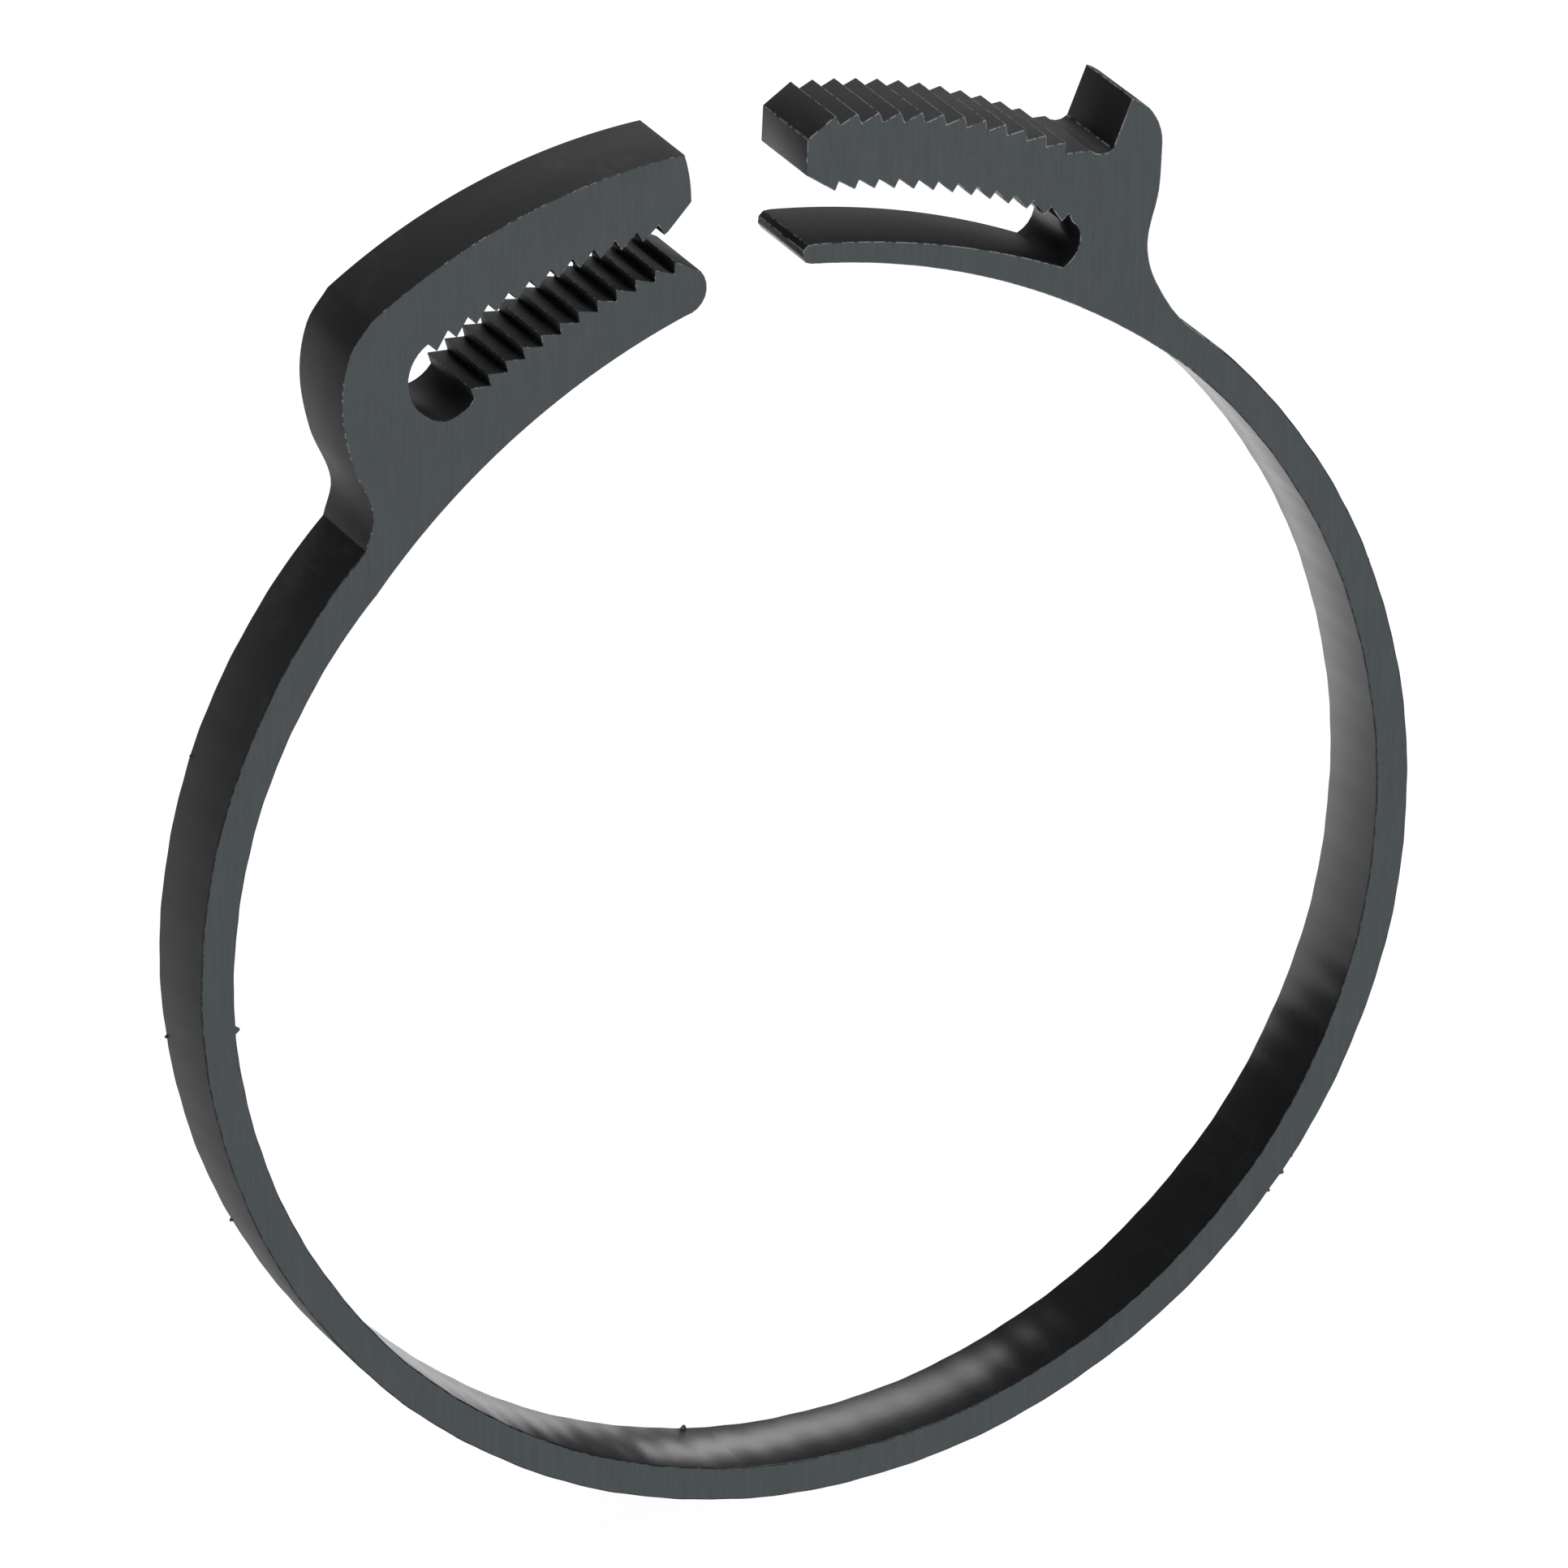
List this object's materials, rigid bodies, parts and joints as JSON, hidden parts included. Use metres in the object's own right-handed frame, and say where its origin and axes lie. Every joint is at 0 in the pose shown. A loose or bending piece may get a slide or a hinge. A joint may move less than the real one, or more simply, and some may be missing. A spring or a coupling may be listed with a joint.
{
  "type": "hose clamp",
  "caption": "Moulded nylon ratchet hose clamp, open: a flat band ring whose toothed tongue snaps into a slotted jaw and lets go when the jaws are pushed sideways.",
  "frame": {"origin": "on the axis of the hose seat, half way across the width", "axes": "+Y along the hose, +Z from the seat's axis to the gap between the jaws, +X towards the tongued jaw"},
  "size_m": [0.0751, 0.006, 0.084],
  "materials": {
    "nylon": "dark slate-grey to black glass-filled nylon, matt moulded faces with a fine grain, a parting line and small mould flash"
  },
  "bodies": {
    "bottom_left": {"bottom_band_left": "nylon"},
    "bottom_right": {"bottom_band_right": "nylon"},
    "left_link_1": {"left_band_1": "nylon"},
    "right_link_1": {"right_band_1": "nylon"},
    "left_link_2": {"left_band_2": "nylon"},
    "right_link_2": {"right_band_2": "nylon"},
    "left_link_3": {"left_band_3": "nylon"},
    "right_link_3": {"right_band_3": "nylon"},
    "left_link_4": {"left_band_4": "nylon"},
    "right_link_4": {"right_band_4": "nylon"},
    "female_jaw": {"female_heel": "nylon"},
    "outer_arm": {"outer_arm": "nylon", "outer_tooth_strip": "nylon"},
    "inner_arm": {"inner_arm": "nylon", "inner_tooth_strip": "nylon"},
    "male_jaw": {"male_heel": "nylon", "toothed_tongue": "nylon", "stop_lug": "nylon"},
    "guide": {"guide_tongue": "nylon"}
  },
  "joints": [
    {"name": "sideways_release", "type": "hinge", "parent": "bottom_left", "child": "bottom_right", "pos_m": [0, 0, -0.03625], "axis": [1, 0, 0], "range_deg": [-6, 6], "stiffness_Nm_per_rad": 0.1},
    {"name": "squeeze", "type": "hinge", "parent": "right_link_4", "child": "male_jaw", "pos_m": [0.0257, 0, 0.02698], "axis": [0, -1, 0], "range_deg": [-2.51, 6.28], "stiffness_Nm_per_rad": 2.2, "deforming": ["outer_tooth_strip", "inner_tooth_strip", "guide_tongue"]},
    {"name": "flex_right_4", "type": "hinge", "parent": "right_link_3", "child": "right_link_4", "pos_m": [0.03503, 0, 0.0101], "axis": [0, -1, 0], "range_deg": [-2.66, 6.65]},
    {"name": "flex_right_3", "type": "hinge", "parent": "right_link_2", "child": "right_link_3", "pos_m": [0.03514, 0, -0.00891], "axis": [0, -1, 0], "range_deg": [-1.76, 4.39]},
    {"name": "flex_right_2", "type": "hinge", "parent": "right_link_1", "child": "right_link_2", "pos_m": [0.02584, 0, -0.02542], "axis": [0, -1, 0], "range_deg": [-0.59, 1.47]},
    {"name": "flex_right_1", "type": "hinge", "parent": "bottom_right", "child": "right_link_1", "pos_m": [0.00948, 0, -0.03499], "axis": [0, -1, 0], "range_deg": [-0.54, 1.35]},
    {"name": "flex_left_1", "type": "hinge", "parent": "bottom_left", "child": "left_link_1", "pos_m": [-0.00897, 0, -0.03512], "axis": [0, 1, 0], "range_deg": [-0.74, 1.85]},
    {"name": "flex_left_2", "type": "hinge", "parent": "left_link_1", "child": "left_link_2", "pos_m": [-0.02475, 0, -0.02654], "axis": [0, 1, 0], "range_deg": [-1.13, 2.82]},
    {"name": "flex_left_3", "type": "hinge", "parent": "left_link_2", "child": "left_link_3", "pos_m": [-0.03474, 0, -0.01151], "axis": [0, 1, 0], "range_deg": [-1.49, 3.72]},
    {"name": "flex_left_4", "type": "hinge", "parent": "left_link_3", "child": "left_link_4", "pos_m": [-0.03623, 0, 0.00661], "axis": [0, 1, 0], "range_deg": [-1.47, 3.68]},
    {"name": "flex_left_5", "type": "hinge", "parent": "left_link_4", "child": "female_jaw", "pos_m": [-0.0283, 0, 0.02292], "axis": [0, 1, 0], "range_deg": [-1.1, 2.75]},
    {"name": "outer_arm_spread", "type": "hinge", "parent": "female_jaw", "child": "outer_arm", "pos_m": [-0.02518, 0, 0.03822], "axis": [0, -1, 0], "range_deg": [-1.49, 3.73]},
    {"name": "inner_arm_spread", "type": "hinge", "parent": "female_jaw", "child": "inner_arm", "pos_m": [-0.02055, 0, 0.03116], "axis": [0, 1, 0], "range_deg": [-1.2, 3]},
    {"name": "guide_spread", "type": "hinge", "parent": "male_jaw", "child": "guide", "pos_m": [0.01544, 0, 0.03448], "axis": [0, -1, 0], "range_deg": [-2.41, 6.01]}
  ],
  "couplings": [
    {"joint": "flex_right_4", "follows": "squeeze", "ratio": 1.0567},
    {"joint": "flex_right_3", "follows": "squeeze", "ratio": 0.69833},
    {"joint": "flex_right_2", "follows": "squeeze", "ratio": 0.23267},
    {"joint": "flex_right_1", "follows": "squeeze", "ratio": 0.21434},
    {"joint": "flex_left_1", "follows": "squeeze", "ratio": 0.29323},
    {"joint": "flex_left_2", "follows": "squeeze", "ratio": 0.44797},
    {"joint": "flex_left_3", "follows": "squeeze", "ratio": 0.59155},
    {"joint": "flex_left_4", "follows": "squeeze", "ratio": 0.5847},
    {"joint": "flex_left_5", "follows": "squeeze", "ratio": 0.43713},
    {"joint": "outer_arm_spread", "follows": "squeeze", "ratio": 0.59299},
    {"joint": "inner_arm_spread", "follows": "squeeze", "ratio": 0.47665},
    {"joint": "guide_spread", "follows": "squeeze", "ratio": 0.95618}
  ]
}
